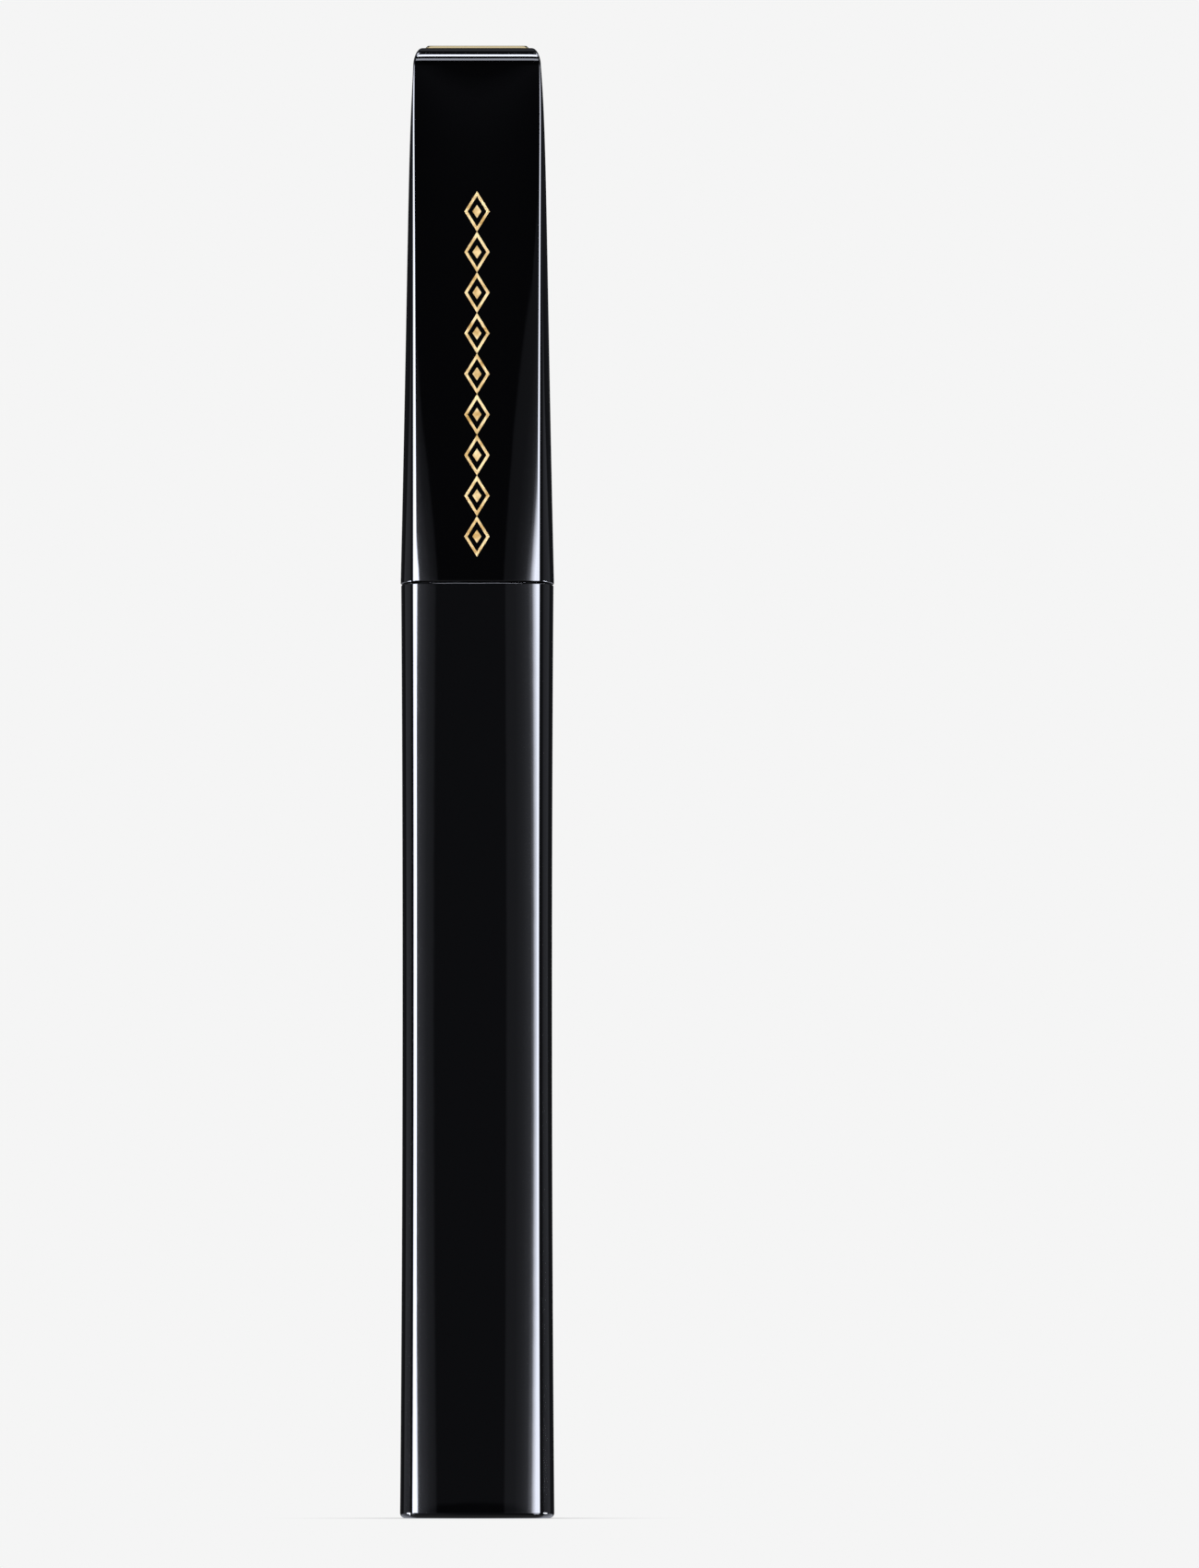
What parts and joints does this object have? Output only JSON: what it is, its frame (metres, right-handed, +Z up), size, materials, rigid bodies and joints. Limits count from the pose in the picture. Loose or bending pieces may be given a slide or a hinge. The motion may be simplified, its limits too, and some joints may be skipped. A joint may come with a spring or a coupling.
{
  "type": "mascara tube",
  "caption": "Closed glossy black mascara tube of convex-sided square section, with a screw cap that carries the stem and brush and a pale gold plate in its top.",
  "frame": {"origin": "middle of the base, on the surface that the tube stands on", "axes": "+Z up along the tube's axis to the cap, -Y the front face that carries the cap's long ornament"},
  "size_m": [0.0146, 0.0146, 0.14],
  "materials": {
    "gloss_black": "high gloss lacquer",
    "satin_black": "satin moulded plastic",
    "soft_grey": "soft waxy plastic",
    "rubber": "matt",
    "steel": "drawn wire and turned ring",
    "pale_gold": "anodised pale gold, fine brushed",
    "fibre": "nylon fibre"
  },
  "bodies": {
    "tube": {"tube_shell": "gloss_black", "base_plug": "satin_black", "inner_bottle": "satin_black", "neck_collar": "gloss_black", "wiper": "soft_grey"},
    "washer": {"seal_washer": "rubber"},
    "weight": {"cap_weight": "steel"},
    "cap_and_brush": {"cap_shell": "gloss_black", "cap_top_plate": "pale_gold", "inner_cap": "satin_black", "stem": "satin_black", "brush_wire": "steel", "brush_fibres": "fibre"}
  },
  "joints": [
    {"name": "pull_out", "type": "slide", "parent": "tube", "child": "washer", "axis": [0, 0, 1], "range_m": [0, 0.095], "deforming": ["brush_fibres"]},
    {"name": "thread_rise", "type": "slide", "parent": "washer", "child": "weight", "axis": [0, 0, 1], "range_m": [0, 0.006]},
    {"name": "cap_turn", "type": "hinge", "parent": "weight", "child": "cap_and_brush", "pos_m": [0, 0, 0.1], "axis": [0, 0, 1], "range_deg": [0, 720]}
  ],
  "couplings": [
    {"joint": "thread_rise", "follows": "cap_turn", "m_per_rad": 0.00047746}
  ]
}
